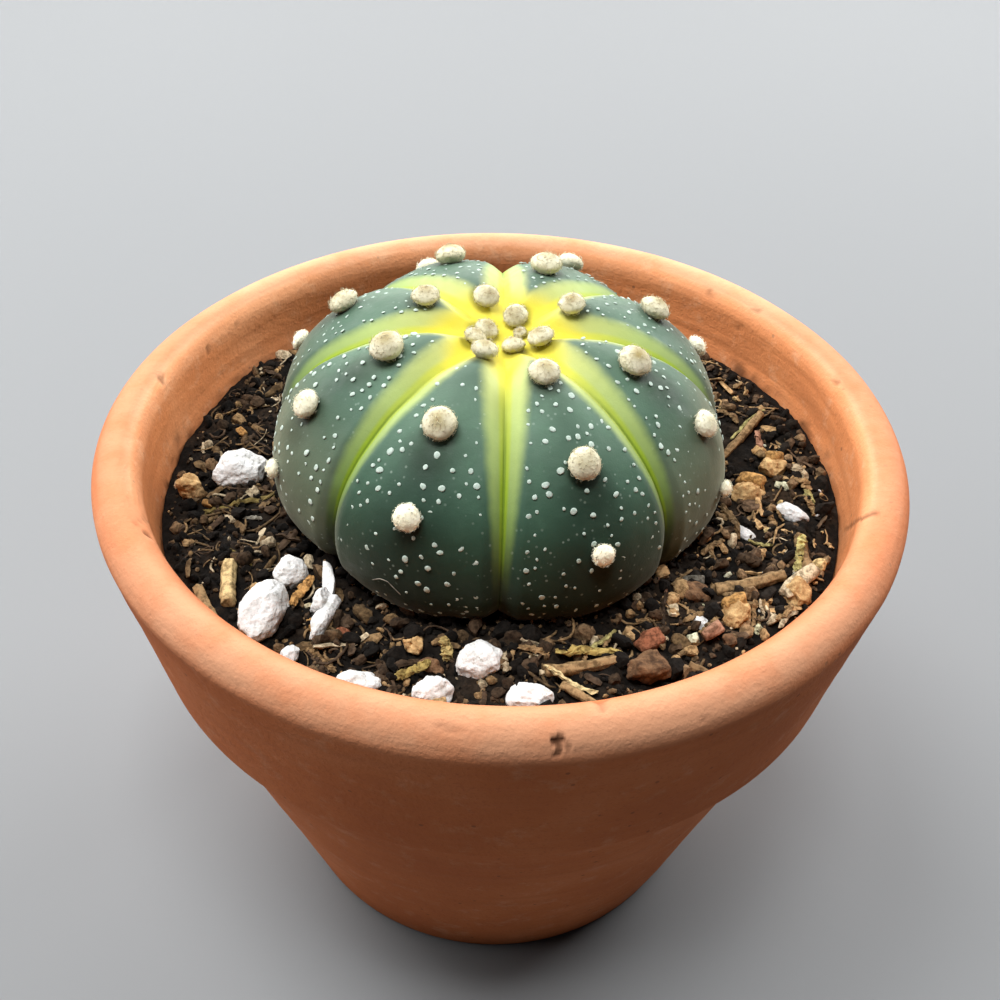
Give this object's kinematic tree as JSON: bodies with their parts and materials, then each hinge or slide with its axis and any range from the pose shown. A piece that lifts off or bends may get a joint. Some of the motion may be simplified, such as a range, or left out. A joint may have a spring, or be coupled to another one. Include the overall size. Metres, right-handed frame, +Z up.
{
  "type": "potted star cactus",
  "caption": "Ribbed star cactus with woolly tufts, in dark potting soil with loose perlite, in a small round terracotta pot.",
  "frame": {"origin": "centre of the pot's foot, on the surface it stands on", "axes": "+Z up; -Y is the front, the side the picture looks at; +X to the picture's right"},
  "size_m": [0.082, 0.082, 0.0737],
  "materials": {
    "terracotta": "matt unglazed fired clay, orange, a little chalky",
    "soil": "dry peaty potting mix, near black with brown crumbs",
    "cactus_skin": "satin blue-green skin with white flecks, yellow-green furrows and cream woolly tufts",
    "perlite": "matt white, porous",
    "grit": "matt tan baked clay grit",
    "bark": "matt brown composted bark",
    "stick": "matt dry wood fibre, tan",
    "straw": "satin dry straw, pale yellow"
  },
  "bodies": {
    "root": {"pot": "terracotta", "soil": "soil", "cactus": "cactus_skin", "perlite_01": "perlite", "perlite_02": "perlite", "perlite_03": "perlite", "perlite_04": "perlite", "perlite_05": "perlite", "perlite_06": "perlite", "perlite_07": "perlite", "perlite_08": "perlite", "perlite_09": "perlite", "perlite_10": "perlite", "perlite_11": "perlite", "perlite_12": "perlite", "perlite_13": "perlite", "perlite_14": "perlite", "perlite_15": "perlite", "grit_01": "grit", "grit_02": "grit", "grit_03": "grit", "grit_04": "grit", "grit_05": "grit", "grit_06": "grit", "grit_07": "grit", "bark_01": "bark", "bark_02": "bark", "bark_03": "bark", "bark_04": "bark", "bark_05": "bark", "bark_06": "bark", "stick_01": "stick", "stick_02": "stick", "stick_03": "stick", "stick_04": "stick", "stick_05": "stick", "stick_06": "stick", "straw_01": "straw", "straw_02": "straw"}
  },
  "joints": []
}
